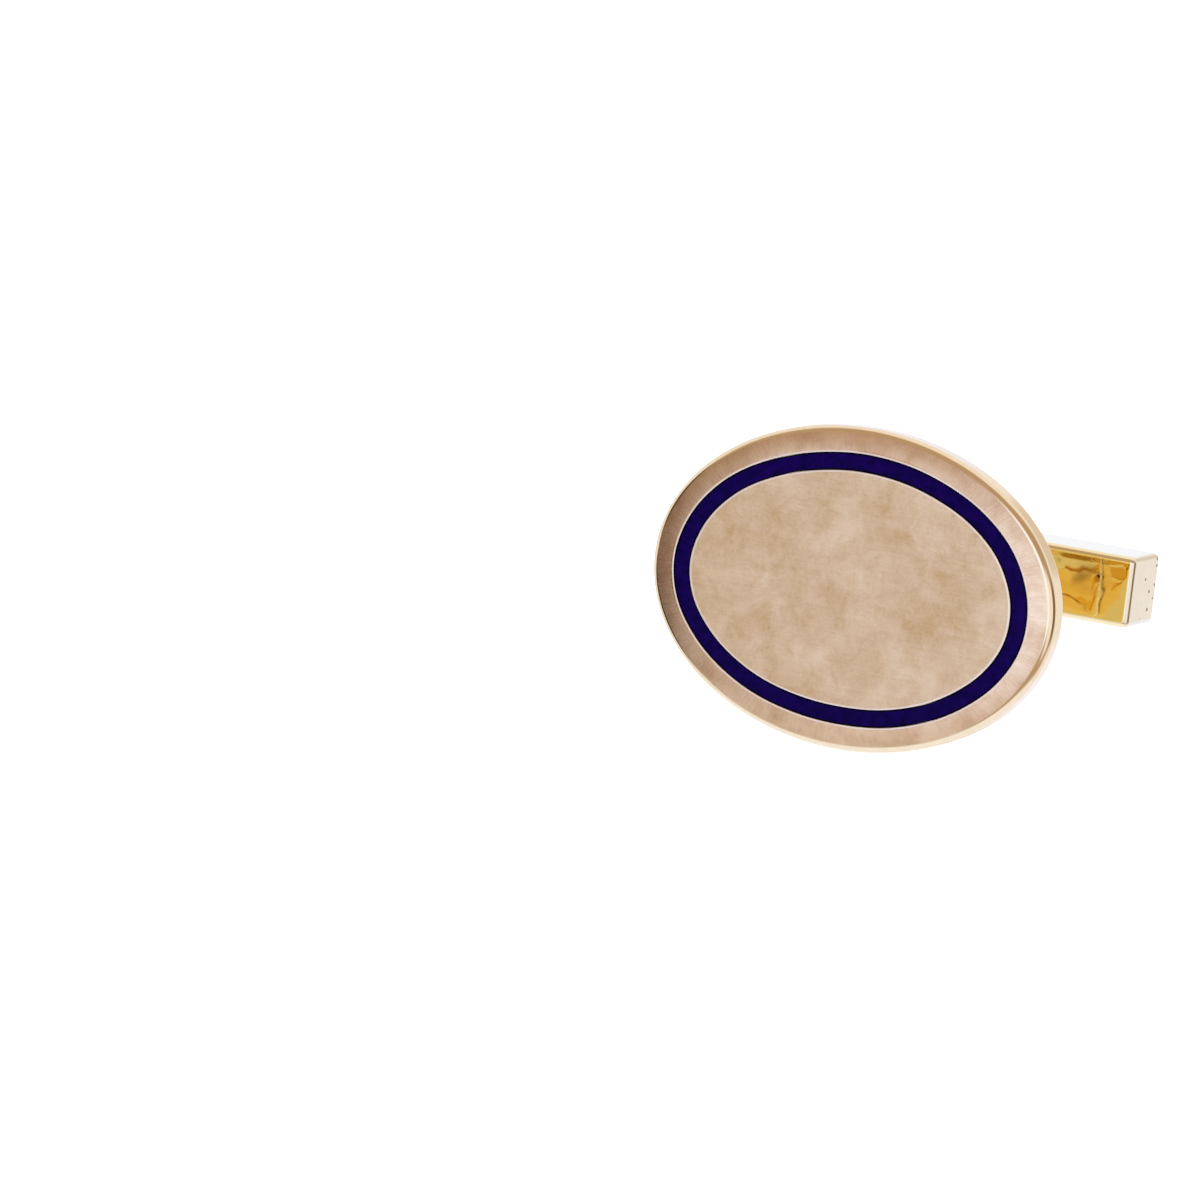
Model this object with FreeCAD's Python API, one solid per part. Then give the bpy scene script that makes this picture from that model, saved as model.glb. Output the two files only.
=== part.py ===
import FreeCAD, Part
import math
import os

# A cufflink. X runs along the oval front, Y runs back along the post, Z is up.
# The origin is the centre of the flat face. All sizes are in millimetres.

# Front
PLATE_LENGTH = 18.3
PLATE_HEIGHT = 13.6
PLATE_THICKNESS = 1.35
BORDER_WIDTH = 1.1
CROWN_RADIUS = 7.0
FRONT_EDGE_RADIUS = 0.35
BACK_EDGE_RADIUS = 0.2

# Enamel
ENAMEL_WIDTH = 0.75
ENAMEL_DEPTH = 0.5
ENAMEL_SINK = 0.03
LIP_BEVEL = 0.06

# Post
FOOT_THICKNESS = 0.45
FOOT_MARGIN = 0.5
FOOT_CORNER_RADIUS = 1.3
FOOT_EDGE_RADIUS = 0.15
CUFF_GAP = 11.55
ARM_THICKNESS = 0.75
ARM_FOOT_WIDTH = 3.0
ARM_EDGE_RADIUS = 0.15
EYE_RADIUS = 1.2
FLARE_LENGTH = 4.6
FLARE_RADIUS = 9.4

# Bar
BAR_LENGTH = 15.1
BAR_HEIGHT = 3.05
BAR_DEPTH = 3.0
BAR_WALL = 0.45
BAR_EDGE_RADIUS = 0.28
CAP_THICKNESS = 0.5
SPIGOT_LENGTH = 0.5

# Pivot and springs
PIN_RADIUS = 0.6
PIN_ACROSS_FLATS = 0.86
HEAD_RADIUS = 0.9
HEAD_HEIGHT = 0.25
SPRING_THICKNESS = 0.18
SPRING_HEIGHT = 1.8

# Clearances
SWING_CLEARANCE = 0.08
PIVOT_CLEARANCE = 0.04
RIVET_CLEARANCE = 0.01
CAP_CLEARANCE = 0.02
SPRING_CLEARANCE = 0.02

# Bands that make up each rounding of the front
ARC_STEPS = 4

# Places that follow from the sizes
FIELD_INSET = BORDER_WIDTH + ENAMEL_WIDTH
LIP_TURN = math.asin(ENAMEL_WIDTH / CROWN_RADIUS)
OUTER_LIP_Y = CROWN_RADIUS - CROWN_RADIUS * math.cos(LIP_TURN)
CROWN_TURN = math.asin((FIELD_INSET - FRONT_EDGE_RADIUS) / (CROWN_RADIUS - FRONT_EDGE_RADIUS))
FRONT_EDGE_Y = CROWN_RADIUS - (CROWN_RADIUS - FRONT_EDGE_RADIUS) * math.cos(CROWN_TURN)
BACK_EDGE_Y = PLATE_THICKNESS - BACK_EDGE_RADIUS
FOOT_TOP_Y = PLATE_THICKNESS + FOOT_THICKNESS
PIVOT_Y = PLATE_THICKNESS + CUFF_GAP + BAR_DEPTH / 2
ARM_INNER_Z = BAR_HEIGHT / 2 + SWING_CLEARANCE
ARM_OUTER_Z = ARM_INNER_Z + ARM_THICKNESS
FLARE_START_Y = FOOT_TOP_Y + FLARE_LENGTH
FLARE_CENTRE = FreeCAD.Vector(0, FLARE_START_Y, ARM_INNER_Z + FLARE_RADIUS)
FLARE_TURN_INNER = -math.pi / 2 - math.asin(FLARE_LENGTH / FLARE_RADIUS)
FLARE_TURN_OUTER = -math.pi / 2 - math.asin(FLARE_LENGTH / (FLARE_RADIUS - ARM_THICKNESS))
ARM_FOOT_Z = FLARE_CENTRE.z + (FLARE_RADIUS - ARM_THICKNESS) * math.sin(FLARE_TURN_OUTER)
TUBE_HALF_LENGTH = BAR_LENGTH / 2 - CAP_THICKNESS
CAVITY_HEIGHT = BAR_HEIGHT - 2 * BAR_WALL
CAVITY_DEPTH = BAR_DEPTH - 2 * BAR_WALL
SPRING_HALF_LENGTH = TUBE_HALF_LENGTH - SPIGOT_LENGTH - SPRING_CLEARANCE

BACK = FreeCAD.Vector(0, 1, 0)
RIGHT = FreeCAD.Vector(1, 0, 0)
UP = FreeCAD.Vector(0, 0, 1)


def point(x, y, z):
    return FreeCAD.Vector(x, y, z)


def plate_oval(inset, y):
    """The oval outline of the front, drawn in by the inset."""
    end = point(PLATE_LENGTH / 2 - inset, y, 0)
    top = point(0, y, PLATE_HEIGHT / 2 - inset)
    return Part.Wire(Part.Ellipse(end, top, point(0, y, 0)).toShape())


def plate_prism(inset, y_front, y_back):
    """A slab with the outline of the front."""
    return Part.Face(plate_oval(inset, y_front)).extrude(BACK * (y_back - y_front))


def edges_at_depth(shape, y):
    """The edges that lie wholly at one distance behind the face."""
    found = []
    for edge in shape.Edges:
        box = edge.optimalBoundingBox()
        if abs(box.YMin - y) < 1e-3 and abs(box.YMax - y) < 1e-3:
            found.append(edge)
    return found


def edges_along(shape, direction):
    """The straight edges that run along the direction."""
    found = []
    for edge in shape.Edges:
        if abs(edge.tangentAt(edge.FirstParameter).dot(direction)) > 0.999:
            found.append(edge)
    return found


def crown_oval(turn):
    """An outline on the border, which rolls back about a centre behind the field's edge."""
    inset = FIELD_INSET - CROWN_RADIUS * math.sin(turn)
    return plate_oval(inset, CROWN_RADIUS - CROWN_RADIUS * math.cos(turn))


def front_edge_oval(turn):
    """An outline on the round front edge, which carries the border on into the side wall."""
    inset = FRONT_EDGE_RADIUS - FRONT_EDGE_RADIUS * math.sin(turn)
    return plate_oval(inset, FRONT_EDGE_Y - FRONT_EDGE_RADIUS * math.cos(turn))


def back_edge_oval(turn):
    """An outline on the round back edge, from the side wall to the back."""
    inset = BACK_EDGE_RADIUS - BACK_EDGE_RADIUS * math.cos(turn)
    return plate_oval(inset, BACK_EDGE_Y + BACK_EDGE_RADIUS * math.sin(turn))


def round_slab(oval_at, start, end):
    """A slab whose outline follows an arc, in narrow bands between evenly turned ovals."""
    outlines = []
    for step in range(ARC_STEPS + 1):
        outlines.append(oval_at(start + (end - start) * step / ARC_STEPS))
    return Part.makeLoft(outlines, True, True)


def tapered_slab(inset_front, inset_back, y_front, y_back):
    """A slab whose oval outline changes evenly from front to back."""
    outlines = [plate_oval(inset_front, y_front), plate_oval(inset_back, y_back)]
    return Part.makeLoft(outlines, True, True)


def channel():
    """The room for the enamel: an upright-walled ring with a bevel on both lips."""
    bevel_y = OUTER_LIP_Y + LIP_BEVEL
    mouth = plate_prism(BORDER_WIDTH - LIP_BEVEL, 0, OUTER_LIP_Y)
    mouth = mouth.fuse(tapered_slab(BORDER_WIDTH - LIP_BEVEL, BORDER_WIDTH, OUTER_LIP_Y, bevel_y))
    mouth = mouth.fuse(plate_prism(BORDER_WIDTH, bevel_y, ENAMEL_DEPTH))
    island = tapered_slab(FIELD_INSET + LIP_BEVEL, FIELD_INSET, 0, LIP_BEVEL)
    island = island.fuse(plate_prism(FIELD_INSET, LIP_BEVEL, ENAMEL_DEPTH))
    return mouth.cut(island)


def face_plate():
    """The oval front: flat field, rolled border, round edges, channel for the enamel."""
    slope = tapered_slab(FIELD_INSET, BORDER_WIDTH, 0, OUTER_LIP_Y)
    crown = round_slab(crown_oval, LIP_TURN, CROWN_TURN)
    front_edge = round_slab(front_edge_oval, CROWN_TURN, math.pi / 2)
    wall = plate_prism(0, FRONT_EDGE_Y, BACK_EDGE_Y)
    back_edge = round_slab(back_edge_oval, 0, math.pi / 2)
    plate = slope.fuse([crown, front_edge, wall, back_edge]).removeSplitter()
    return plate.cut(channel())


def enamel_ring():
    """The enamel: the channel filled to just under an even slope from lip to lip."""
    outer_y = OUTER_LIP_Y + ENAMEL_SINK
    fill = tapered_slab(FIELD_INSET + LIP_BEVEL, BORDER_WIDTH - LIP_BEVEL, ENAMEL_SINK, outer_y)
    fill = fill.fuse(plate_prism(BORDER_WIDTH - LIP_BEVEL, outer_y, ENAMEL_DEPTH))
    return channel().common(fill)


def post_foot():
    """The round-cornered pad on the back of the front, a margin wider than both arms' feet."""
    half_length = ARM_FOOT_WIDTH / 2 + FOOT_MARGIN
    half_height = ARM_FOOT_Z + FOOT_MARGIN
    pad = Part.makeBox(
        2 * half_length, FOOT_THICKNESS, 2 * half_height,
        point(-half_length, PLATE_THICKNESS, -half_height),
    )
    pad = pad.makeFillet(FOOT_CORNER_RADIUS, edges_along(pad, BACK))
    return pad.makeFillet(FOOT_EDGE_RADIUS, edges_at_depth(pad, FOOT_TOP_Y))


def arc(centre, radius, start, end):
    """A round piece of a side view, angles measured from Y toward Z."""
    places = []
    for angle in (start, (start + end) / 2, end):
        places.append(centre + BACK * (radius * math.cos(angle)) + UP * (radius * math.sin(angle)))
    return Part.Arc(*places).toShape()


def arm_side_view():
    """The upper arm seen along X: straight at the bar, flared to its foot at one thickness."""
    tip_y = PIVOT_Y + EYE_RADIUS
    inner = arc(FLARE_CENTRE, FLARE_RADIUS, FLARE_TURN_INNER, -math.pi / 2)
    outer = arc(FLARE_CENTRE, FLARE_RADIUS - ARM_THICKNESS, -math.pi / 2, FLARE_TURN_OUTER)
    corners = [
        inner.valueAt(inner.LastParameter),
        point(0, tip_y, ARM_INNER_Z),
        point(0, tip_y, ARM_OUTER_Z),
        outer.valueAt(outer.FirstParameter),
    ]
    sides = [Part.makeLine(corners[i], corners[i + 1]) for i in range(3)]
    sole = Part.makeLine(outer.valueAt(outer.LastParameter), inner.valueAt(inner.FirstParameter))
    return Part.Face(Part.Wire([inner] + sides + [outer, sole]))


def arm_top_view():
    """The arm seen along Z: tapered from its foot, its sides running smoothly into a round eye."""
    half_foot = ARM_FOOT_WIDTH / 2
    reach = PIVOT_Y - FOOT_TOP_Y
    turn = math.atan2(half_foot, reach) + math.acos(EYE_RADIUS / math.hypot(half_foot, reach))
    side_x = EYE_RADIUS * math.sin(turn)
    side_y = PIVOT_Y - EYE_RADIUS * math.cos(turn)
    foot_left = point(-half_foot, FOOT_TOP_Y, 0)
    foot_right = point(half_foot, FOOT_TOP_Y, 0)
    eye_right = point(side_x, side_y, 0)
    eye_left = point(-side_x, side_y, 0)
    eye = Part.Arc(eye_right, point(0, PIVOT_Y + EYE_RADIUS, 0), eye_left).toShape()
    lines = [
        Part.makeLine(foot_left, foot_right),
        Part.makeLine(foot_right, eye_right),
        eye,
        Part.makeLine(eye_left, foot_left),
    ]
    return Part.Face(Part.Wire(lines))


def lengthwise_edges(shape):
    """The edges of an arm that neither cross it nor stand upright."""
    found = []
    for edge in shape.Edges:
        run = edge.tangentAt(edge.FirstParameter)
        if abs(run.x) < 0.99 and abs(run.z) < 0.9:
            found.append(edge)
    return found


def arm():
    """The upper arm: both views brought together, edges rounded, bored for the pin."""
    half_width = max(ARM_FOOT_WIDTH / 2, EYE_RADIUS)
    side = arm_side_view()
    side.translate(RIGHT * -half_width)
    blank = side.extrude(RIGHT * (2 * half_width))
    body = blank.common(arm_top_view().extrude(UP * PLATE_HEIGHT))
    body = body.makeFillet(ARM_EDGE_RADIUS, lengthwise_edges(body))
    hole = Part.makeCylinder(PIN_RADIUS + RIVET_CLEARANCE, PLATE_HEIGHT, point(0, PIVOT_Y, 0), UP)
    return body.cut(hole)


def mirrored(shape, across):
    """The same piece on the other side of the middle."""
    return shape.mirror(point(0, 0, 0), across)


def bar_box(x_left, x_right, depth, height):
    """A box along the bar, centred on the pivot in depth and height."""
    corner = point(x_left, PIVOT_Y - depth / 2, -height / 2)
    return Part.makeBox(x_right - x_left, depth, height, corner)


def bar_block():
    """The whole outside of the bar, every edge round."""
    block = bar_box(-BAR_LENGTH / 2, BAR_LENGTH / 2, BAR_DEPTH, BAR_HEIGHT)
    return block.makeFillet(BAR_EDGE_RADIUS, block.Edges)


def toggle_tube():
    """The rectangular tube of the bar with the holes for the pin."""
    middle = bar_box(-TUBE_HALF_LENGTH, TUBE_HALF_LENGTH, BAR_DEPTH, BAR_HEIGHT)
    hollow = bar_box(-TUBE_HALF_LENGTH, TUBE_HALF_LENGTH, CAVITY_DEPTH, CAVITY_HEIGHT)
    hole_foot = point(0, PIVOT_Y, -BAR_HEIGHT / 2)
    hole = Part.makeCylinder(PIN_RADIUS + PIVOT_CLEARANCE, BAR_HEIGHT, hole_foot, UP)
    return bar_block().common(middle).cut(hollow).cut(hole)


def end_cap():
    """The right end of the bar: a round-edged flange and a spigot inside the tube."""
    flange = bar_block().common(bar_box(TUBE_HALF_LENGTH, BAR_LENGTH / 2, BAR_DEPTH, BAR_HEIGHT))
    spigot = bar_box(
        TUBE_HALF_LENGTH - SPIGOT_LENGTH, TUBE_HALF_LENGTH,
        CAVITY_DEPTH - 2 * CAP_CLEARANCE, CAVITY_HEIGHT - 2 * CAP_CLEARANCE,
    )
    return flange.fuse(spigot).removeSplitter()


def pivot_pin():
    """The pin: riveted heads outside the arms, square between the springs."""
    rod = Part.makeCylinder(PIN_RADIUS, 2 * ARM_OUTER_Z, point(0, PIVOT_Y, -ARM_OUTER_Z), UP)
    half_square = CAVITY_HEIGHT / 2 - SPRING_CLEARANCE
    waist = Part.makeCylinder(2 * PIN_RADIUS, 2 * half_square, point(0, PIVOT_Y, -half_square), UP)
    square = Part.makeBox(
        PIN_ACROSS_FLATS, PIN_ACROSS_FLATS, 2 * half_square,
        point(-PIN_ACROSS_FLATS / 2, PIVOT_Y - PIN_ACROSS_FLATS / 2, -half_square),
    )
    rod = rod.cut(waist.cut(square))
    dome_radius = (HEAD_RADIUS ** 2 + HEAD_HEIGHT ** 2) / (2 * HEAD_HEIGHT)
    ball = Part.makeSphere(dome_radius, point(0, PIVOT_Y, ARM_OUTER_Z + HEAD_HEIGHT - dome_radius))
    head = ball.common(Part.makeCylinder(HEAD_RADIUS, HEAD_HEIGHT, point(0, PIVOT_Y, ARM_OUTER_Z), UP))
    return rod.fuse([head, mirrored(head, UP)]).removeSplitter()


def leaf_spring(side):
    """A bowed leaf: its middle by the pin's flat, its ends on the wall of the tube."""
    middle = PIN_ACROSS_FLATS / 2 + SPRING_CLEARANCE
    ends = CAVITY_DEPTH / 2 - SPRING_THICKNESS
    left = point(-SPRING_HALF_LENGTH, ends, -SPRING_HEIGHT / 2)
    right = point(SPRING_HALF_LENGTH, ends, -SPRING_HEIGHT / 2)
    bow = Part.Arc(left, point(0, middle, -SPRING_HEIGHT / 2), right).toShape()
    leaf = bow.extrude(BACK * SPRING_THICKNESS).extrude(UP * SPRING_HEIGHT)
    if side < 0:
        leaf = mirrored(leaf, BACK)
    leaf.translate(BACK * PIVOT_Y)
    return leaf


pieces = {
    "face_plate": face_plate(),
    "enamel_ring": enamel_ring(),
    "post_foot": post_foot(),
    "arm_upper": arm(),
    "arm_lower": mirrored(arm(), UP),
    "pivot_pin": pivot_pin(),
    "toggle_tube": toggle_tube(),
    "end_cap_left": mirrored(end_cap(), RIGHT),
    "end_cap_right": end_cap(),
    "leaf_spring_front": leaf_spring(-1),
    "leaf_spring_back": leaf_spring(1),
}

os.makedirs("parts", exist_ok=True)
for name, shape in pieces.items():
    shape.exportStep("parts/" + name + ".step")
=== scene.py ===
import math

import bmesh
import bpy
import numpy as np
from mathutils import Matrix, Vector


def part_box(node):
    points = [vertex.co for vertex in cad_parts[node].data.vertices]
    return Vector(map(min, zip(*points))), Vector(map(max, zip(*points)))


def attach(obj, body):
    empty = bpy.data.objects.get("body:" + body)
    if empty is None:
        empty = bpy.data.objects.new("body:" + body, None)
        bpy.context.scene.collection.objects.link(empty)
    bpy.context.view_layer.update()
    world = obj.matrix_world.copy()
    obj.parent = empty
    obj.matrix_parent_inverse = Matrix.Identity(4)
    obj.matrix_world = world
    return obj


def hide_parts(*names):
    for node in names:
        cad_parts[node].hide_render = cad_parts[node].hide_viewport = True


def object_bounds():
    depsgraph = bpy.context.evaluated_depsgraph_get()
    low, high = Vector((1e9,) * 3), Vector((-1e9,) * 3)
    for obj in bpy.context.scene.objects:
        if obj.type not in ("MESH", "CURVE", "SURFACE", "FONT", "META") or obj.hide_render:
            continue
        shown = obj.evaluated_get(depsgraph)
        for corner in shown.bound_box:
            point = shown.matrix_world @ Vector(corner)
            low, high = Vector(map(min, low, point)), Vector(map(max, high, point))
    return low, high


# A gold cufflink. X runs along the oval front, Y runs back along the post, Z is up.
# Sizes here are in millimetres; a piece is put into metres when its mesh is made.

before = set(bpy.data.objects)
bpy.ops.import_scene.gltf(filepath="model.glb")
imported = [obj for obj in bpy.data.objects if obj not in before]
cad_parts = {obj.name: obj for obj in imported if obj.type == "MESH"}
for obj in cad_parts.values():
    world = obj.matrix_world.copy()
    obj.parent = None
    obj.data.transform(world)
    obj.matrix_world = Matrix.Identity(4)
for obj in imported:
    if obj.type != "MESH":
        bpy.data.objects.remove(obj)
CAD_LOW, CAD_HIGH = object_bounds()
MM = 0.001

# Front
PLATE_LOW, PLATE_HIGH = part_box("face_plate")
PLATE_HALF_LENGTH = min(-PLATE_LOW.x, PLATE_HIGH.x) / MM
PLATE_HALF_HEIGHT = min(-PLATE_LOW.z, PLATE_HIGH.z) / MM
PLATE_THICKNESS = PLATE_HIGH.y / MM
BORDER_WIDTH = 1.1
CROWN_RADIUS = 7.0
FRONT_EDGE_RADIUS = 0.35
BACK_EDGE_RADIUS = 0.2

# Enamel
ENAMEL_WIDTH = 0.75
ENAMEL_DEPTH = 0.5
ENAMEL_SINK = 0.03
ENAMEL_SEAM = 0.015
ENAMEL_CROWN = 0.012
LIP_RADIUS = 0.03
INNER_LIP_FLAT = 0.065
OUTER_LIP_FLAT = 0.05
FIELD_INSET = BORDER_WIDTH + ENAMEL_WIDTH

# Post
FOOT_LOW, FOOT_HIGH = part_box("post_foot")
FOOT_CORNER_RADIUS = 1.3
FOOT_EDGE_RADIUS = 0.15
FOOT_TOP = FOOT_HIGH.y / MM
ARM_THICKNESS = 0.75
ARM_HALF_FOOT = 1.5
ARM_EDGE_RADIUS = 0.15
EYE_RADIUS = 1.2
EYE_HOLE_RADIUS = 0.61
ARM_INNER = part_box("arm_upper")[0].z / MM
FLARE_LENGTH = 4.6
FLARE_RADIUS = 9.4
# Height of the middle of the band of painted shade on the pad.
PAINTED_SHADE_HEIGHT = -0.6

# Bar and pin
TUBE_LOW, TUBE_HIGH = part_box("toggle_tube")
TUBE_HALF_LENGTH = TUBE_HIGH.x / MM
BAR_HALF_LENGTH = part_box("end_cap_right")[1].x / MM
BAR_HALF_DEPTH = (TUBE_HIGH.y - TUBE_LOW.y) / 2 / MM
BAR_HALF_HEIGHT = TUBE_HIGH.z / MM
PIVOT_Y = (TUBE_HIGH.y + TUBE_LOW.y) / 2 / MM
BAR_WALL = 0.45
BAR_EDGE_RADIUS = 0.28
INNER_CORNER_RADIUS = 0.05
TUBE_HOLE_RADIUS = 0.64
SPIGOT_LENGTH = 0.5
SPIGOT_CLEARANCE = 0.02
PIN_RADIUS = 0.6
PIN_HALF_FLAT = 0.43
SQUARE_CLEARANCE = 0.02
PIN_HALF_SQUARE = BAR_HALF_HEIGHT - BAR_WALL - SQUARE_CLEARANCE
HEAD_RADIUS = 0.9
HEAD_HEIGHT = 0.25


# Meshes

MERGE_DISTANCE = 1e-8
SHARP_CORNER = math.radians(32)


def grid_quads(index):
    """The quads between neighbouring rows and columns of a table of point numbers."""
    corners = [index[:-1, :-1], index[1:, :-1], index[1:, 1:], index[:-1, 1:]]
    return np.stack(corners, axis=-1).reshape(-1, 4)


def ring_quads(rows, columns):
    """The quads of a grid whose every row runs round in a closed ring."""
    index = np.arange(rows * columns).reshape(rows, columns)
    return grid_quads(np.hstack([index, index[:, :1]]))


def make_piece(name, node, body, points, faces, materials, material_of_face=None, sweep=None):
    """A closed mesh from points in millimetres: points that fall together are made one, faces
    are turned outwards and shaded smooth up to a clear corner. Sweep is a second place for each
    point, for a pattern that follows the piece round."""
    mesh = bpy.data.meshes.new(name)
    mesh.from_pydata((points * MM).tolist(), [], [list(face) for face in faces])
    for material in materials:
        mesh.materials.append(material)
    if material_of_face is not None:
        mesh.polygons.foreach_set("material_index", material_of_face.astype(np.int32))
    if sweep is not None:
        layer = mesh.attributes.new("sweep", "FLOAT_VECTOR", "POINT")
        layer.data.foreach_set("vector", sweep.astype(np.float32).ravel())
    shell = bmesh.new()
    shell.from_mesh(mesh)
    bmesh.ops.remove_doubles(shell, verts=shell.verts, dist=MERGE_DISTANCE)
    bmesh.ops.recalc_face_normals(shell, faces=shell.faces)
    shell.to_mesh(mesh)
    shell.free()
    mesh.shade_smooth()
    mesh.set_sharp_from_angle(angle=SHARP_CORNER)
    piece = bpy.data.objects.new(name, mesh)
    bpy.context.scene.collection.objects.link(piece)
    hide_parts(node)
    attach(piece, body)
    return piece


def quarter(count):
    """Sine and cosine over a quarter turn, for the section of a rounded edge."""
    turn = np.linspace(0, math.pi / 2, count)
    return np.sin(turn), np.cos(turn)


# Materials

def linear(code):
    """An sRGB hex colour as linear red, green, blue and alpha."""
    shown = np.array([int(code[i:i + 2], 16) / 255 for i in (1, 3, 5)])
    light = np.where(shown <= 0.04045, shown / 12.92, ((shown + 0.055) / 1.055) ** 2.4)
    return (*light.tolist(), 1.0)


def add(tree, kind, inputs=None, **settings):
    """Adds a node with its settings. An input is a value, or a socket to link from."""
    made = tree.nodes.new("ShaderNode" + kind)
    for name, value in settings.items():
        setattr(made, name, value)
    for name, value in (inputs or {}).items():
        if isinstance(value, bpy.types.NodeSocket):
            tree.links.new(value, made.inputs[name])
        else:
            made.inputs[name].default_value = value
    return made


def new_material(name):
    """An empty material, its node tree and its shader."""
    material = bpy.data.materials.new(name)
    material.use_nodes = True
    tree = material.node_tree
    tree.nodes.clear()
    shader = add(tree, "BsdfPrincipled")
    add(tree, "OutputMaterial", {"Surface": shader.outputs["BSDF"]})
    return material, tree, shader


def satin_field_gold():
    """Rose gold rubbed to a satin finish in one direction: faint streaks along the oval, a fine
    grain, a soft broken sheen, cloudy ochre tarnish 2 to 4 mm wide where handling has dulled it,
    and small ragged patches in it. The grain is drawn at 0.12 mm, coarser than it is, so that it
    shows."""
    material, tree, shader = new_material("satin_rose_gold_field")
    place = add(tree, "TexCoord").outputs["Object"]
    in_mm = add(tree, "Mapping", {"Vector": place, "Scale": (1000, 1000, 1000)}).outputs[0]
    along = add(tree, "Mapping", {"Vector": place, "Scale": (450, 1000, 9000)}).outputs[0]
    shifted = add(tree, "Mapping", {"Vector": in_mm, "Location": (-15, 3, 10)}).outputs[0]
    clouds = add(tree, "TexNoise", {"Vector": shifted, "Scale": 0.42, "Detail": 7, "Roughness": 0.6,
                                    "Distortion": 0.3}).outputs["Fac"]
    patches = add(tree, "TexNoise", {"Vector": in_mm, "Scale": 1.1, "Detail": 6, "Roughness": 0.75,
                                     "Distortion": 0.6}).outputs["Fac"]
    grain = add(tree, "TexNoise", {"Vector": in_mm, "Scale": 8.0, "Detail": 4,
                                   "Roughness": 0.8}).outputs["Fac"]
    streaks = add(tree, "TexNoise", {"Vector": along, "Scale": 1.0, "Detail": 4,
                                     "Roughness": 0.6}).outputs["Fac"]
    dulled = add(tree, "MapRange", {"Value": clouds, "From Min": 0.30, "From Max": 0.82}).outputs[0]
    ragged = add(tree, "MapRange", {"Value": patches, "From Min": 0.44, "From Max": 0.64, "To Min": -0.1,
                                    "To Max": 0.2}).outputs[0]
    grained = add(tree, "MapRange", {"Value": grain, "From Min": 0.3, "From Max": 0.7, "To Min": -0.16,
                                     "To Max": 0.16}).outputs[0]
    streaked = add(tree, "MapRange", {"Value": streaks, "From Min": 0.3, "From Max": 0.7, "To Min": -0.08,
                                      "To Max": 0.08}).outputs[0]
    tarnished = add(tree, "Math", {0: dulled, 1: ragged}, operation="ADD").outputs[0]
    marked = add(tree, "Math", {0: grained, 1: streaked}, operation="ADD").outputs[0]
    worn = add(tree, "Math", {0: tarnished, 1: marked}, operation="ADD").outputs[0]
    colour = add(tree, "Mix", {"Factor": worn, "A": linear("#f0d6ba"), "B": linear("#cca876")},
                 data_type="RGBA")
    tree.links.new(colour.outputs["Result"], shader.inputs["Base Color"])
    rough = add(tree, "MapRange", {"Value": streaks, "From Min": 0.3, "From Max": 0.7, "To Min": 0.36,
                                   "To Max": 0.42}).outputs[0]
    tree.links.new(rough, shader.inputs["Roughness"])
    bump = add(tree, "Bump", {"Height": streaks, "Strength": 0.08, "Distance": 0.00002}).outputs[0]
    tree.links.new(bump, shader.inputs["Normal"])
    shader.inputs["Metallic"].default_value = 1.0
    return material


def satin_border_gold():
    """The same gold rubbed across the border: short fine strokes from the enamel to the edge, a
    tenth of a millimetre apart."""
    material, tree, shader = new_material("satin_rose_gold_border")
    sweep = add(tree, "Attribute", attribute_name="sweep").outputs["Vector"]
    place = add(tree, "TexCoord").outputs["Object"]
    in_mm = add(tree, "Mapping", {"Vector": place, "Scale": (1000, 1000, 1000)}).outputs[0]
    strokes = add(tree, "TexNoise", {"Vector": sweep, "Scale": 12.0, "Detail": 4,
                                     "Roughness": 0.65}).outputs["Fac"]
    clouds = add(tree, "TexNoise", {"Vector": in_mm, "Scale": 0.6, "Detail": 6,
                                    "Roughness": 0.65}).outputs["Fac"]
    dulled = add(tree, "MapRange", {"Value": clouds, "From Min": 0.42, "From Max": 0.78}).outputs[0]
    streaked = add(tree, "MapRange", {"Value": strokes, "From Min": 0.3, "From Max": 0.7, "To Min": -0.11,
                                      "To Max": 0.11}).outputs[0]
    worn = add(tree, "Math", {0: dulled, 1: streaked}, operation="ADD").outputs[0]
    colour = add(tree, "Mix", {"Factor": worn, "A": linear("#ebceb3"), "B": linear("#c7a17d")},
                 data_type="RGBA")
    tree.links.new(colour.outputs["Result"], shader.inputs["Base Color"])
    rough = add(tree, "MapRange", {"Value": strokes, "From Min": 0.3, "From Max": 0.7, "To Min": 0.24,
                                   "To Max": 0.32}).outputs[0]
    tree.links.new(rough, shader.inputs["Roughness"])
    bump = add(tree, "Bump", {"Height": strokes, "Strength": 0.13, "Distance": 0.00002}).outputs[0]
    tree.links.new(bump, shader.inputs["Normal"])
    shader.inputs["Metallic"].default_value = 1.0
    return material


def lip_gold_painted_highlight():
    """The narrow rounded lip on each side of the enamel, coloured near white as a painted highlight:
    a pale line with small breaks in it."""
    material, tree, shader = new_material("rose_gold_lip_painted_highlight")
    place = add(tree, "TexCoord").outputs["Object"]
    in_mm = add(tree, "Mapping", {"Vector": place, "Scale": (1000, 1000, 1000)}).outputs[0]
    breaks = add(tree, "TexNoise", {"Vector": in_mm, "Scale": 1.5, "Detail": 5,
                                    "Roughness": 0.7}).outputs["Fac"]
    # Near-white colours: painted highlight along the lip.
    colour = add(tree, "Mix", {"Factor": breaks, "A": linear("#fff5f1"), "B": linear("#f8e2d8")},
                 data_type="RGBA")
    tree.links.new(colour.outputs["Result"], shader.inputs["Base Color"])
    rough = add(tree, "MapRange", {"Value": breaks, "From Min": 0.3, "From Max": 0.7, "To Min": 0.36,
                                   "To Max": 0.52}).outputs[0]
    tree.links.new(rough, shader.inputs["Roughness"])
    shader.inputs["Metallic"].default_value = 1.0
    return material


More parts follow.
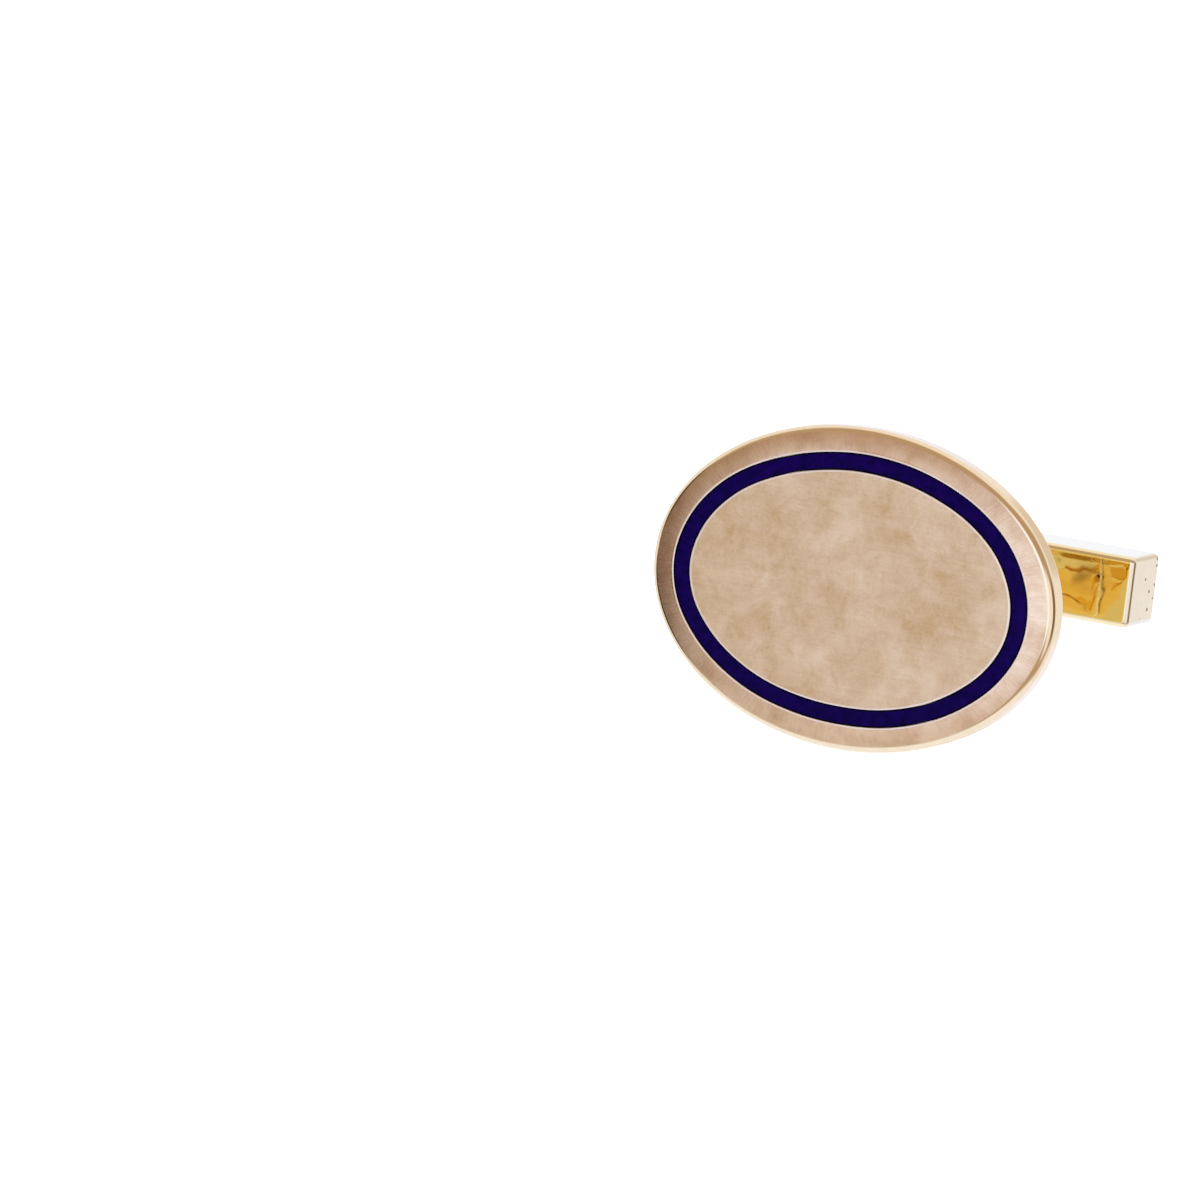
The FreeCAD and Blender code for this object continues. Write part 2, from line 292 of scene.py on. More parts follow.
def polished_front_gold():
    """Polished rose gold on the rim: a soft mirror with faint rubbing marks."""
    material, tree, shader = new_material("polished_rose_gold")
    place = add(tree, "TexCoord").outputs["Object"]
    in_mm = add(tree, "Mapping", {"Vector": place, "Scale": (1000, 1000, 1000)}).outputs[0]
    rubbed = add(tree, "TexNoise", {"Vector": in_mm, "Scale": 2.2, "Detail": 6,
                                    "Roughness": 0.7}).outputs["Fac"]
    waves = add(tree, "TexNoise", {"Vector": in_mm, "Scale": 0.6, "Detail": 1}).outputs["Fac"]
    colour = add(tree, "Mix", {"Factor": rubbed, "A": linear("#f4e2c8"), "B": linear("#ead1b0")},
                 data_type="RGBA")
    tree.links.new(colour.outputs["Result"], shader.inputs["Base Color"])
    rough = add(tree, "MapRange", {"Value": rubbed, "From Min": 0.3, "From Max": 0.7,
                                   "To Min": 0.07, "To Max": 0.16}).outputs[0]
    tree.links.new(rough, shader.inputs["Roughness"])
    bump = add(tree, "Bump", {"Height": waves, "Strength": 0.2, "Distance": 0.00005}).outputs[0]
    tree.links.new(bump, shader.inputs["Normal"])
    shader.inputs["Metallic"].default_value = 1.0
    return material


def mirror_gold(name, light, deep, waves_per_mm, wave_strength, painted_shade_strength):
    """Gold between two colours, worked by hand to a mirror: waves bend what it mirrors, the more the
    less evenly it was filed before, and hairline marks run along it. Over it goes a dark amber
    painted shade of the given strength, in noisy patches along a band across the piece, full within
    0.4 mm of the band's height and gone at 1.6 mm; on the pad between the arms it stands for the
    shade there that the bar's front mirrors."""
    material, tree, shader = new_material(name)
    place = add(tree, "TexCoord").outputs["Object"]
    in_mm = add(tree, "Mapping", {"Vector": place, "Scale": (1000, 1000, 1000)}).outputs[0]
    along = add(tree, "Mapping", {"Vector": place, "Scale": (300, 6000, 6000)}).outputs[0]
    waves = add(tree, "TexNoise", {"Vector": in_mm, "Scale": waves_per_mm, "Detail": 1,
                                   "Distortion": 0.5}).outputs["Fac"]
    marks = add(tree, "TexNoise", {"Vector": along, "Scale": 1.0, "Detail": 3}).outputs["Fac"]
    # Painted shade: noise patches in a band across the piece, mixed in as dark amber below.
    shade_noise = add(tree, "TexNoise", {"Vector": in_mm, "Scale": 0.6, "Detail": 2,
                                  "Distortion": 0.3}).outputs["Fac"]
    shade_patches = add(tree, "MapRange", {"Value": shade_noise, "From Min": 0.42, "From Max": 0.58, "To Min": 0.0,
                                    "To Max": 1.0}).outputs[0]
    height = add(tree, "SeparateXYZ", {"Vector": in_mm}).outputs["Z"]
    above_shade_band = add(tree, "Math", {0: height, 1: PAINTED_SHADE_HEIGHT}, operation="SUBTRACT").outputs[0]
    off_shade_band = add(tree, "Math", {0: above_shade_band}, operation="ABSOLUTE").outputs[0]
    reach = add(tree, "MapRange", {"Value": off_shade_band, "From Min": 0.4, "From Max": 1.6, "To Min": painted_shade_strength,
                                   "To Max": 0.0}, interpolation_type="SMOOTHSTEP").outputs[0]
    painted_shade_mask = add(tree, "Math", {0: shade_patches, 1: reach}, operation="MULTIPLY").outputs[0]
    metal = add(tree, "Mix", {"Factor": marks, "A": linear(light), "B": linear(deep)}, data_type="RGBA")
    # The dark amber mixed in here is painted shade.
    colour = add(tree, "Mix", {"Factor": painted_shade_mask, "A": metal.outputs["Result"], "B": linear("#7a5618")},
                 data_type="RGBA")
    tree.links.new(colour.outputs["Result"], shader.inputs["Base Color"])
    rough = add(tree, "MapRange", {"Value": marks, "From Min": 0.35, "From Max": 0.7,
                                   "To Min": 0.02, "To Max": 0.06}).outputs[0]
    tree.links.new(rough, shader.inputs["Roughness"])
    bump = add(tree, "Bump", {"Height": waves, "Strength": wave_strength, "Distance": 0.00008}).outputs[0]
    tree.links.new(bump, shader.inputs["Normal"])
    shader.inputs["Metallic"].default_value = 1.0
    return material


def pale_end_gold():
    """The bar's ends, filed flat after casting and only lightly polished: a pale even cream with a
    few open pits about a tenth of a millimetre wide, whose dark brown is painted shade in their hollows."""
    material, tree, shader = new_material("pale_cast_gold_end")
    place = add(tree, "TexCoord").outputs["Object"]
    in_mm = add(tree, "Mapping", {"Vector": place, "Scale": (1000, 1000, 1000)}).outputs[0]
    tone = add(tree, "TexNoise", {"Vector": in_mm, "Scale": 1.2, "Detail": 5,
                                  "Roughness": 0.6}).outputs["Fac"]
    sides = add(tree, "SeparateXYZ", {"Vector": in_mm}).outputs
    end_on = add(tree, "CombineXYZ", {"X": sides["Y"], "Y": sides["Z"]}).outputs[0]
    cells = add(tree, "TexVoronoi", {"Vector": end_on, "Scale": 1.8}, voronoi_dimensions="2D").outputs
    chance = add(tree, "SeparateColor", {"Color": cells["Color"]}).outputs
    reach = add(tree, "MapRange", {"Value": chance["Red"], "From Min": 0.5, "From Max": 1.0,
                                   "To Min": 0.0, "To Max": 0.14}).outputs[0]
    pits = add(tree, "Math", {0: cells["Distance"], 1: reach}, operation="LESS_THAN").outputs[0]
    metal = add(tree, "Mix", {"Factor": tone, "A": linear("#f0e5d5"), "B": linear("#e8dac2")},
                data_type="RGBA")
    # Dark brown in the pits: painted shade in their shallow hollows.
    colour = add(tree, "Mix", {"Factor": pits, "A": metal.outputs["Result"], "B": linear("#4b3a26")},
                 data_type="RGBA")
    tree.links.new(colour.outputs["Result"], shader.inputs["Base Color"])
    rough = add(tree, "MapRange", {"Value": tone, "From Min": 0.3, "From Max": 0.7, "To Min": 0.16,
                                   "To Max": 0.26}).outputs[0]
    tree.links.new(rough, shader.inputs["Roughness"])
    hollow = add(tree, "Math", {0: pits, 1: -1.0, 2: tone}, operation="MULTIPLY_ADD").outputs[0]
    bump = add(tree, "Bump", {"Height": hollow, "Strength": 0.08, "Distance": 0.00005}).outputs[0]
    tree.links.new(bump, shader.inputs["Normal"])
    shader.inputs["Metallic"].default_value = 1.0
    return material


def vitreous_enamel():
    """Navy glass enamel, fired into the channel and stoned level with the gold: deep and even,
    a little cloudy, almost no gloss, with dark edges and a few nicks where it meets the gold.
    Sweep holds the place round the ring and, as its third number, the share of the way across."""
    material, tree, shader = new_material("navy_vitreous_enamel")
    sweep = add(tree, "Attribute", attribute_name="sweep").outputs["Vector"]
    place = add(tree, "TexCoord").outputs["Object"]
    in_mm = add(tree, "Mapping", {"Vector": place, "Scale": (1000, 1000, 1000)}).outputs[0]
    across = add(tree, "SeparateXYZ", {"Vector": sweep}).outputs["Z"]
    middle = add(tree, "Math", {0: across, 1: 0.5}, operation="SUBTRACT").outputs[0]
    off_middle = add(tree, "Math", {0: middle}, operation="ABSOLUTE").outputs[0]
    ragged = add(tree, "TexNoise", {"Vector": in_mm, "Scale": 4.0, "Detail": 3}).outputs["Fac"]
    reach = add(tree, "Math", {0: ragged, 1: 0.12, 2: off_middle}, operation="MULTIPLY_ADD").outputs[0]
    edge = add(tree, "MapRange", {"Value": reach, "From Min": 0.46, "From Max": 0.51}).outputs[0]
    clouds = add(tree, "TexNoise", {"Vector": in_mm, "Scale": 2.4, "Detail": 6,
                                    "Roughness": 0.75}).outputs["Fac"]
    cloudy = add(tree, "MapRange", {"Value": clouds, "From Min": 0.32, "From Max": 0.72}).outputs[0]
    glass = add(tree, "Mix", {"Factor": cloudy, "A": linear("#020025"), "B": linear("#110048")},
                data_type="RGBA")
    colour = add(tree, "Mix", {"Factor": edge, "A": glass.outputs["Result"], "B": linear("#020009")},
                 data_type="RGBA")
    tree.links.new(colour.outputs["Result"], shader.inputs["Base Color"])
    rough = add(tree, "MapRange", {"Value": clouds, "From Min": 0.3, "From Max": 0.7,
                                   "To Min": 0.25, "To Max": 0.4}).outputs[0]
    tree.links.new(rough, shader.inputs["Roughness"])
    bump = add(tree, "Bump", {"Height": clouds, "Strength": 0.1, "Distance": 0.00002}).outputs[0]
    tree.links.new(bump, shader.inputs["Normal"])
    shader.inputs["Specular IOR Level"].default_value = 0.02
    return material


def bright_spring_steel():
    """Rolled spring steel: grey, with fine rolling lines along the leaf."""
    material, tree, shader = new_material("bright_spring_steel")
    place = add(tree, "TexCoord").outputs["Object"]
    along = add(tree, "Mapping", {"Vector": place, "Scale": (400, 8000, 8000)}).outputs[0]
    lines = add(tree, "TexNoise", {"Vector": along, "Scale": 1.0, "Detail": 3}).outputs["Fac"]
    colour = add(tree, "Mix", {"Factor": lines, "A": linear("#c9c9cb"), "B": linear("#a9a9ad")},
                 data_type="RGBA")
    tree.links.new(colour.outputs["Result"], shader.inputs["Base Color"])
    rough = add(tree, "MapRange", {"Value": lines, "To Min": 0.2, "To Max": 0.4}).outputs[0]
    tree.links.new(rough, shader.inputs["Roughness"])
    shader.inputs["Metallic"].default_value = 1.0
    return material


PALE_GOLD = ("#f7e8c4", "#f0dcae")
YELLOW_GOLD = ("#f6e09a", "#f0d486")
SATIN_FIELD = satin_field_gold()
SATIN_BORDER = satin_border_gold()
LIP_PAINTED_HIGHLIGHT = lip_gold_painted_highlight()
POLISHED_FRONT = polished_front_gold()
POLISHED_BAR = mirror_gold("polished_pale_gold", *PALE_GOLD, waves_per_mm=0.6, wave_strength=0.2,
                           painted_shade_strength=0.0)
POLISHED_BACK = mirror_gold("polished_yellow_gold", *YELLOW_GOLD, waves_per_mm=0.6,
                            wave_strength=0.2, painted_shade_strength=0.0)
# The pad gets a strong dark amber painted shade in a band across its middle, which the bar's front
# mirrors.
PAD_GOLD_PAINTED_SHADE = mirror_gold("gold_with_painted_shade", *YELLOW_GOLD, waves_per_mm=0.9, wave_strength=0.5,
                         painted_shade_strength=0.85)
PALE_END = pale_end_gold()
ENAMEL = vitreous_enamel()
SPRING_STEEL = bright_spring_steel()


# Front

OVAL_COLUMNS = 480
OVAL_TURN = np.linspace(0, 2 * math.pi, OVAL_COLUMNS, endpoint=False)
OVAL_MEAN_RADIUS = (PLATE_HALF_LENGTH + PLATE_HALF_HEIGHT) / 2
STROKE_SQUEEZE = 0.12
GRAVER_WAVES = ((0.018, 3, 1.1), (0.012, 7, 0.4), (0.003, 17, 2.0))


def oval_rings(share, inset, depth, by_hand):
    """Ellipses, one a row: the front's half length less the inset times the cosine of the turn
    along X, its half height less the inset times the sine along Z, both times the row's share, all
    at the row's depth along Y. The graver that cut the enamel's channel wandered by hundredths of
    a millimetre: three sine waves round the oval, each with its size, count and start, times the
    row's by-hand number, are added to the inset."""
    wander = sum(size * np.sin(count * OVAL_TURN + start) for size, count, start in GRAVER_WAVES)
    drawn_in = inset[:, None] + by_hand[:, None] * wander
    x = share[:, None] * (PLATE_HALF_LENGTH - drawn_in) * np.cos(OVAL_TURN)
    z = share[:, None] * (PLATE_HALF_HEIGHT - drawn_in) * np.sin(OVAL_TURN)
    y = np.broadcast_to(depth[:, None], x.shape)
    return np.stack([x, y, z], axis=-1).reshape(-1, 3)


def round_and_across(across):
    """The place round the oval on a circle of its mean radius, and the row's own third number, so
    that a pattern runs round without a seam."""
    x = np.broadcast_to(OVAL_MEAN_RADIUS * np.cos(OVAL_TURN), (len(across), OVAL_COLUMNS))
    y = np.broadcast_to(OVAL_MEAN_RADIUS * np.sin(OVAL_TURN), x.shape)
    z = np.broadcast_to(across[:, None], x.shape)
    return np.stack([x, y, z], axis=-1).reshape(-1, 3)


def oval_front():
    """Ellipses carried along the front's section: out over the flat field, round the inner lip,
    down and up the enamel's channel, over the rolled border, round the front edge, down the wall,
    round the back edge and in over the flat back. The border is an arc of the crown's radius about
    a centre behind the field's edge, and the front edge an arc tangent to it and to the wall."""
    sine, cosine = quarter(6)
    crown_turn = math.asin((FIELD_INSET - FRONT_EDGE_RADIUS) / (CROWN_RADIUS - FRONT_EDGE_RADIUS))
    edge_y = CROWN_RADIUS - (CROWN_RADIUS - FRONT_EDGE_RADIUS) * math.cos(crown_turn)
    back_y = PLATE_THICKNESS - BACK_EDGE_RADIUS
    lip_turn = math.asin((ENAMEL_WIDTH + LIP_RADIUS) / CROWN_RADIUS)
    lip_y = CROWN_RADIUS * (1 - math.cos(lip_turn))
    flat_turn = math.asin((ENAMEL_WIDTH + LIP_RADIUS + OUTER_LIP_FLAT) / CROWN_RADIUS)
    border_turn = np.append(lip_turn, np.linspace(flat_turn, crown_turn, 18))
    edge_turn = np.linspace(crown_turn, math.pi / 2, 16)[1:]
    back_sine, back_cosine = quarter(10)
    inner_lip = (FIELD_INSET + LIP_RADIUS * (1 - sine), LIP_RADIUS * (1 - cosine))
    channel = (
        np.array([FIELD_INSET, FIELD_INSET, BORDER_WIDTH, BORDER_WIDTH]),
        np.array([ENAMEL_DEPTH / 2, ENAMEL_DEPTH, ENAMEL_DEPTH, ENAMEL_DEPTH / 2]),
    )
    outer_lip = (BORDER_WIDTH - LIP_RADIUS * (1 - sine[::-1]), lip_y + LIP_RADIUS * (1 - cosine[::-1]))
    border = (FIELD_INSET - CROWN_RADIUS * np.sin(border_turn), CROWN_RADIUS * (1 - np.cos(border_turn)))
    edge = (FRONT_EDGE_RADIUS * (1 - np.sin(edge_turn)), edge_y - FRONT_EDGE_RADIUS * np.cos(edge_turn))
    wall = (np.zeros(5), np.linspace(edge_y, back_y, 6)[1:])
    back_edge = (BACK_EDGE_RADIUS * (1 - back_cosine[1:]), back_y + BACK_EDGE_RADIUS * back_sine[1:])
    bands = [inner_lip, channel, outer_lip, border, edge, wall, back_edge]
    inset = np.concatenate([band[0] for band in bands])
    depth = np.concatenate([band[1] for band in bands])
    field_share = np.append(np.linspace(0, 1, 28)[:-1], 1 - INNER_LIP_FLAT / PLATE_HALF_HEIGHT)
    back_share = np.linspace(1, 0, 18)[1:]
    share = np.concatenate([field_share, np.ones(len(inset)), back_share])
    inset = np.concatenate([
        np.full(len(field_share), FIELD_INSET + LIP_RADIUS), inset,
        np.full(len(back_share), BACK_EDGE_RADIUS),
    ])
    depth = np.concatenate([
        np.zeros(len(field_share)), depth, np.full(len(back_share), PLATE_THICKNESS),
    ])
    border_start = len(field_share) + sum(len(band[0]) for band in bands[:3])
    by_hand = np.zeros(len(depth))
    by_hand[len(field_share) - 1:border_start + 2] = 1
    points = oval_rings(share, inset, depth, by_hand)
    border_end = border_start + len(border[0])
    materials = [SATIN_FIELD, SATIN_BORDER, POLISHED_FRONT, POLISHED_BACK, LIP_PAINTED_HIGHLIGHT]
    on_field, on_border, on_rim, on_back, on_lip = range(len(materials))
    band_of_row = np.full(len(depth) - 1, on_rim)
    band_of_row[:len(field_share)] = on_field
    band_of_row[border_start:border_end - 1] = on_border
    band_of_row[len(field_share) - 1:len(field_share) + len(sine) - 1] = on_lip
    band_of_row[border_start - len(sine):border_start + 1] = on_lip
    band_of_row[-len(back_share):] = on_back
    return make_piece(
        "oval_front", "face_plate", "front", points, ring_quads(len(depth), OVAL_COLUMNS),
        materials, np.repeat(band_of_row, OVAL_COLUMNS), round_and_across(inset * STROKE_SQUEEZE),
    )


def enamel_inlay():
    """Ellipses carried round the enamel's own section: its top, a flat arc a little below the
    face, which drops with the crown from lip to lip, then the outer side, the floor and the inner
    side. A hairline is left on both sides, where enamel and gold part."""
    across = np.linspace(0, 1, 14)
    inset = FIELD_INSET - ENAMEL_SEAM - (ENAMEL_WIDTH - 2 * ENAMEL_SEAM) * across
    lip_drop = CROWN_RADIUS - math.sqrt(CROWN_RADIUS ** 2 - ENAMEL_WIDTH ** 2)
    depth = ENAMEL_SINK + lip_drop * across + ENAMEL_CROWN * (2 * across - 1) ** 2
    across = np.append(across, [1, 0, 0])
    inset = np.append(inset, [inset[-1], inset[0], inset[0]])
    depth = np.append(depth, [ENAMEL_DEPTH, ENAMEL_DEPTH, depth[0]])
    points = oval_rings(np.ones(len(depth)), inset, depth, np.ones(len(depth)))
    return make_piece(
        "enamel_inlay", "enamel_ring", "front", points, ring_quads(len(depth), OVAL_COLUMNS),
        [ENAMEL], None, round_and_across(across),
    )


# Post

def round_cornered(half_a, half_b, corner, side_points=8, corner_points=9):
    """Rectangles with round corners, one a row, as two coordinates: each corner is a quarter
    circle about its own centre, and the sides between the corners are evenly divided."""
    turn = np.linspace(0, math.pi / 2, corner_points)
    steps = np.linspace(0, 1, side_points, endpoint=False)[1:]
    a_runs = []
    b_runs = []
    signs = [(1, 1), (-1, 1), (-1, -1), (1, -1)]
    for place, (sign_a, sign_b) in enumerate(signs):
        whole_turn = turn + place * math.pi / 2
        centre_a = sign_a * (half_a - corner)[:, None]
        centre_b = sign_b * (half_b - corner)[:, None]
        arc_a = centre_a + corner[:, None] * np.cos(whole_turn)
        arc_b = centre_b + corner[:, None] * np.sin(whole_turn)
        next_a, next_b = signs[(place + 1) % 4]
        end_turn = (place + 1) * math.pi / 2
        end_a = next_a * (half_a - corner)[:, None] + corner[:, None] * math.cos(end_turn)
        end_b = next_b * (half_b - corner)[:, None] + corner[:, None] * math.sin(end_turn)
        a_runs += [arc_a, arc_a[:, -1:] + (end_a - arc_a[:, -1:]) * steps]
        b_runs += [arc_b, arc_b[:, -1:] + (end_b - arc_b[:, -1:]) * steps]
    return np.hstack(a_runs), np.hstack(b_runs)


def solder_pad():
    """Round-cornered rectangles carried back from the front's back: one flat underneath, the
    wall, a quarter-round edge and the flat top, each end drawn in to a point."""
    half_x = FOOT_HIGH.x / MM
    half_z = FOOT_HIGH.z / MM
    sine, cosine = quarter(8)
    sole_share = np.linspace(0, 1, 6)
    top_share = np.linspace(1, 0, 8)[1:]
    share = np.concatenate([sole_share, np.ones(len(sine)), top_share])
    inset = np.concatenate([
        np.zeros(len(sole_share)), FOOT_EDGE_RADIUS * (1 - cosine),
        np.full(len(top_share), FOOT_EDGE_RADIUS),
    ])
    edge_y = FOOT_TOP - FOOT_EDGE_RADIUS + FOOT_EDGE_RADIUS * sine
    depth = np.concatenate([
        np.full(len(sole_share), FOOT_LOW.y / MM), edge_y, np.full(len(top_share), FOOT_TOP),
    ])
    x, z = round_cornered(
        share * (half_x - inset), share * (half_z - inset), share * (FOOT_CORNER_RADIUS - inset))
    y = np.broadcast_to(depth[:, None], x.shape)
    points = np.stack([x, y, z], axis=-1).reshape(-1, 3)
    return make_piece("solder_pad", "post_foot", "front", points,
                      ring_quads(*x.shape), [PAD_GOLD_PAINTED_SHADE])


def arm_height(y):
    """Inner and outer height of an arm at y: level beside the bar, and two arcs about one centre
    where the arm flares toward its foot."""
    start = FOOT_TOP + FLARE_LENGTH
    back = np.clip(start - y, 0, None)
    centre = ARM_INNER + FLARE_RADIUS
    inner = centre - np.sqrt(FLARE_RADIUS ** 2 - back ** 2)
    outer = centre - np.sqrt((FLARE_RADIUS - ARM_THICKNESS) ** 2 - back ** 2)
    return inner, outer


def post_arm(name, node, side):
    """The arm's outline seen from above, a taper that runs smoothly into the round eye, carried
    across the arm's thickness: out from the middle line and the pin's hole, round the lower edge,
    up the side, round the upper edge and in again. Heights come from the flare, and the sole is
    one flat face."""
    reach = PIVOT_Y - FOOT_TOP
    turn = math.atan2(ARM_HALF_FOOT, reach) + math.acos(EYE_RADIUS / math.hypot(ARM_HALF_FOOT, reach))
    side_x = EYE_RADIUS * math.sin(turn)
    side_y = PIVOT_Y - EYE_RADIUS * math.cos(turn)
    neck_y = PIVOT_Y - EYE_RADIUS
    shank = np.linspace(FOOT_TOP, neck_y, 60)
    shoulder = np.linspace(neck_y, side_y, 14)[1:]
    half_turn = np.linspace(turn, math.pi, 32)[1:]
    line_y = np.concatenate([shank, shoulder])
    line_x = ARM_HALF_FOOT + (side_x - ARM_HALF_FOOT) * (line_y - FOOT_TOP) / (side_y - FOOT_TOP)
    normal = np.concatenate([np.full(len(line_y), turn), half_turn])
    out_x = np.concatenate([line_x, EYE_RADIUS * np.sin(half_turn)])
    out_y = np.concatenate([line_y, PIVOT_Y - EYE_RADIUS * np.cos(half_turn)])
    around = np.concatenate([turn * (shoulder - neck_y) / (side_y - neck_y), half_turn])
    hole_bottom = PIVOT_Y - EYE_HOLE_RADIUS
    spine_y = FOOT_TOP + (shank - FOOT_TOP) * (hole_bottom - FOOT_TOP) / (neck_y - FOOT_TOP)
    in_x = np.concatenate([np.zeros(len(shank)), EYE_HOLE_RADIUS * np.sin(around)])
    in_y = np.concatenate([spine_y, PIVOT_Y - EYE_HOLE_RADIUS * np.cos(around)])

    sine, cosine = quarter(8)
    outward = np.linspace(0, 1, 5)[:-1]
    share = np.concatenate([outward, np.ones(2 * len(sine)), outward[::-1]])
    flat_inset = np.full(len(outward), ARM_EDGE_RADIUS)
    edge_inset = ARM_EDGE_RADIUS * (1 - sine)
    edge_rise = ARM_EDGE_RADIUS * (1 - cosine)
    inset = np.concatenate([flat_inset, edge_inset, edge_inset[::-1], flat_inset])
    rise = np.concatenate([
        np.zeros(len(outward)), edge_rise, ARM_THICKNESS - edge_rise[::-1],
        np.full(len(outward), ARM_THICKNESS),
    ])
    rim_x = out_x - inset[:, None] * np.sin(normal)
    rim_y = np.maximum(out_y + inset[:, None] * np.cos(normal), FOOT_TOP)
    half_x = in_x + share[:, None] * (rim_x - in_x)
    half_y = in_y + share[:, None] * (rim_y - in_y)
    x = np.hstack([half_x, -half_x[:, -2::-1]])
    y = np.hstack([half_y, half_y[:, -2::-1]])
    inner, outer = arm_height(y)
    z = side * (inner + (outer - inner) * rise[:, None] / ARM_THICKNESS)
    points = np.stack([x, y, z], axis=-1).reshape(-1, 3)

    index = np.arange(x.size).reshape(x.shape)
    first = len(shank) - 1
    hole = index[[-1, 0], first:x.shape[1] - first]
    sole = np.concatenate([index[:, 0], index[-2:0:-1, -1]])
    faces = np.vstack([grid_quads(index), grid_quads(hole)]).tolist() + [sole.tolist()]
    return make_piece(name, node, "front", points, faces, [POLISHED_BACK])


def rivet_pin():
    """Rings carried up the pin: a circle in the arms and the bar's walls, a square with its
    corners cut by that circle between the springs, and at each end a head whose radius follows
    the arc of its dome."""
    turn = np.linspace(0, 2 * math.pi, 96, endpoint=False)
    circle = np.ones(len(turn))
    square = PIN_HALF_FLAT / np.maximum(np.abs(np.cos(turn)), np.abs(np.sin(turn)))
    square = np.minimum(square / PIN_RADIUS, 1)
    dome_radius = (HEAD_RADIUS ** 2 + HEAD_HEIGHT ** 2) / (2 * HEAD_HEIGHT)
    dome = np.linspace(0, math.asin(HEAD_RADIUS / dome_radius), 10)
    top = ARM_INNER + ARM_THICKNESS
    head_r = dome_radius * np.sin(dome[::-1])
    head_z = top + HEAD_HEIGHT - dome_radius * (1 - np.cos(dome[::-1]))
    half_r = np.concatenate([[PIN_RADIUS] * 4, head_r])
    half_z = np.concatenate([[0, PIN_HALF_SQUARE, PIN_HALF_SQUARE, top], head_z])
    squared = np.concatenate([[True, True], np.zeros(len(half_r) - 2, bool)])
    radius = np.concatenate([half_r[:0:-1], half_r])
    height = np.concatenate([-half_z[:0:-1], half_z])
    squared = np.concatenate([squared[:0:-1], squared])
    ring = radius[:, None] * np.where(squared[:, None], square, circle)
    x = ring * np.cos(turn)
    y = PIVOT_Y + ring * np.sin(turn)
    z = np.broadcast_to(height[:, None], x.shape)
    points = np.stack([x, y, z], axis=-1).reshape(-1, 3)
    return make_piece("rivet_pin", "pivot_pin", "front", points,
                      ring_quads(*x.shape), [POLISHED_BACK])


# Bar

def half_section(half_depth, half_height, corner):
    """The front half of the bar's section, from the middle of the top over the front to the
    middle of the bottom. Pull is how far each point is drawn along when the middle is drawn aside
    for the pin's hole: fully at the middle, not at all from the corners on."""
    flat = half_depth - corner
    step = np.linspace(0, 1, 14)
    turn = np.linspace(0, math.pi / 2, 12)[1:]
    front_z = np.linspace(half_height - corner, corner - half_height, 10)[1:]
    y = np.concatenate([-flat * step, -flat - corner * np.sin(turn), np.full(len(front_z), -half_depth)])
    z = np.concatenate([
        np.full(len(step), half_height), half_height - corner + corner * np.cos(turn), front_z,
    ])
    y = np.concatenate([y, -flat - corner * np.cos(turn), -flat * step[::-1][1:]])
    z = np.concatenate([
        z, corner - half_height - corner * np.sin(turn), np.full(len(step) - 1, -half_height),
    ])
    pull = np.zeros(len(y))
    pull[:len(step)] = 1 - step
    pull[-len(step):] = step
    return y, z, pull


def bar_tube():
    """Two half sections carried along X, outside and inside, closed at both ends. Where the pin
    passes, the middle of the top and bottom is drawn aside along a circle, which leaves the
    holes."""
    wide = TUBE_HOLE_RADIUS
    lengths = np.concatenate([
        np.linspace(-TUBE_HALF_LENGTH, -wide, 30)[:-1],
        wide * np.sin(np.linspace(-math.pi / 2, math.pi / 2, 25)),
        np.linspace(wide, TUBE_HALF_LENGTH, 30)[1:],
    ])
    aside = np.sqrt(np.clip(wide ** 2 - lengths ** 2, 0, None))
    rounding = 1e-9
    open_rows = np.flatnonzero(np.abs(lengths) <= wide + rounding)
    points = []
    faces = []
    start = 0
    for side in (1, -1):
        tables = []
        for wall, corner in ((0, BAR_EDGE_RADIUS), (BAR_WALL, INNER_CORNER_RADIUS)):
            y, z, pull = half_section(BAR_HALF_DEPTH - wall, BAR_HALF_HEIGHT - wall, corner)
            x = np.broadcast_to(lengths[:, None], (len(lengths), len(y)))
            drawn_y = PIVOT_Y + side * (y - aside[:, None] * pull)
            points.append(np.stack([x, drawn_y, np.broadcast_to(z, x.shape)], axis=-1).reshape(-1, 3))
            tables.append(start + np.arange(x.size).reshape(x.shape))
            start += x.size
        outside, inside = tables
        faces += [grid_quads(outside), grid_quads(inside)]
        for end in (0, -1):
            faces.append(grid_quads(np.stack([outside[end], inside[end]])))
            faces.append(grid_quads(np.stack([outside[open_rows, end], inside[open_rows, end]])))
    return make_piece("bar_tube", "toggle_tube", "toggle", np.vstack(points),
                      np.vstack(faces).tolist(), [POLISHED_BAR])


